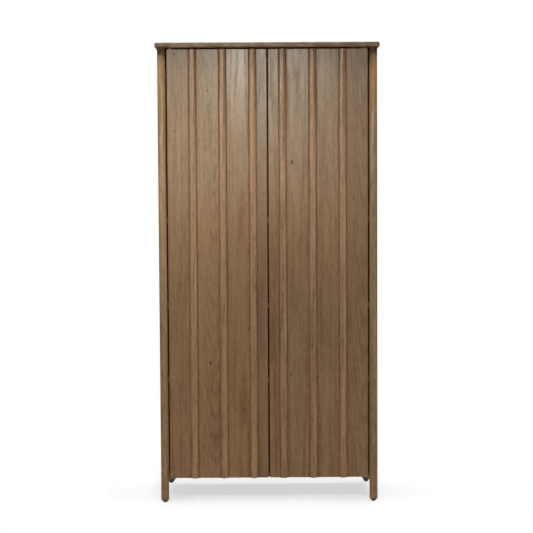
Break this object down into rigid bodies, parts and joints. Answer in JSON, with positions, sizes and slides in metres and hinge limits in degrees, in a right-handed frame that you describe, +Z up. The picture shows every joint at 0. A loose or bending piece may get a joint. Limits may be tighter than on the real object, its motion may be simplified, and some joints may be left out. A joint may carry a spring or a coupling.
{
  "type": "ribbed door cabinet",
  "caption": "Tall free-standing wooden cabinet on round corner posts, with a thin rounded top and flat handleless hinged doors faced with half-round vertical ribs over inner shelves.",
  "frame": {"origin": "on the floor under the middle of the cabinet", "axes": "+X to the right as one faces the doors, +Y to the back, +Z up; the doors face -Y"},
  "size_m": [0.97, 0.45, 2],
  "materials": {
    "top_oak": "brown stained oak, satin",
    "post_oak": "brown stained oak, satin",
    "door_oak": "brown stained oak veneer, satin",
    "rib_oak": "brown stained oak, satin",
    "panel_oak": "brown stained oak veneer, satin",
    "back_board": "brown stained veneer, matt",
    "dowel_wood": "plain beech",
    "steel": "zinc plated",
    "black_steel": "black, matt",
    "nylon": "natural nylon",
    "glide_plastic": "black, matt",
    "latch_plastic": "dark grey, matt",
    "plunger_plastic": "grey, matt",
    "buffer_rubber": "black, matt"
  },
  "bodies": {
    "carcass": {"top_panel": "top_oak", "front_left_post": "post_oak", "front_right_post": "post_oak", "rear_left_post": "post_oak", "rear_right_post": "post_oak", "left_side_panel": "panel_oak", "right_side_panel": "panel_oak", "bottom_panel": "panel_oak", "lower_shelf": "panel_oak", "middle_shelf": "panel_oak", "upper_shelf": "panel_oak", "back_panel": "back_board", "post_dowels": "dowel_wood", "side_dowels": "dowel_wood", "bottom_dowels": "dowel_wood", "shelf_pins": "steel", "upper_pivot_screws": "steel", "lower_pivot_screws": "steel", "latch_screws": "steel", "back_panel_screws": "steel", "left_latch_spring": "steel", "right_latch_spring": "steel", "left_upper_pivot_pin": "steel", "left_lower_pivot_pin": "steel", "right_upper_pivot_pin": "steel", "right_lower_pivot_pin": "steel", "left_upper_pivot_plate": "black_steel", "left_lower_pivot_plate": "black_steel", "right_upper_pivot_plate": "black_steel", "right_lower_pivot_plate": "black_steel", "foot_glides": "glide_plastic", "left_latch_housing": "latch_plastic", "right_latch_housing": "latch_plastic", "door_buffers": "buffer_rubber"},
    "left_door": {"left_door_panel": "door_oak", "left_inner_rib": "rib_oak", "left_middle_rib": "rib_oak", "left_outer_rib": "rib_oak", "left_strike_plate": "steel", "left_strike_screw": "steel", "left_upper_bush": "nylon", "left_lower_bush": "nylon"},
    "left_plunger": {"left_latch_plunger": "plunger_plastic"},
    "right_door": {"right_door_panel": "door_oak", "right_inner_rib": "rib_oak", "right_middle_rib": "rib_oak", "right_outer_rib": "rib_oak", "right_strike_plate": "steel", "right_strike_screw": "steel", "right_upper_bush": "nylon", "right_lower_bush": "nylon"},
    "right_plunger": {"right_latch_plunger": "plunger_plastic"}
  },
  "joints": [
    {"name": "left_door_swing", "type": "hinge", "parent": "carcass", "child": "left_door", "pos_m": [-0.422, -0.1875, 1], "axis": [0, 0, -1], "range_deg": [0, 105]},
    {"name": "right_door_swing", "type": "hinge", "parent": "carcass", "child": "right_door", "pos_m": [0.422, -0.1875, 1], "axis": [0, 0, 1], "range_deg": [0, 105]},
    {"name": "left_latch_push", "type": "slide", "parent": "carcass", "child": "left_plunger", "axis": [0, 1, 0], "range_m": [0, 0.004], "stiffness_N_per_m": 500, "deforming": ["left_latch_spring"]},
    {"name": "right_latch_push", "type": "slide", "parent": "carcass", "child": "right_plunger", "axis": [0, 1, 0], "range_m": [0, 0.004], "stiffness_N_per_m": 500, "deforming": ["right_latch_spring"]}
  ]
}
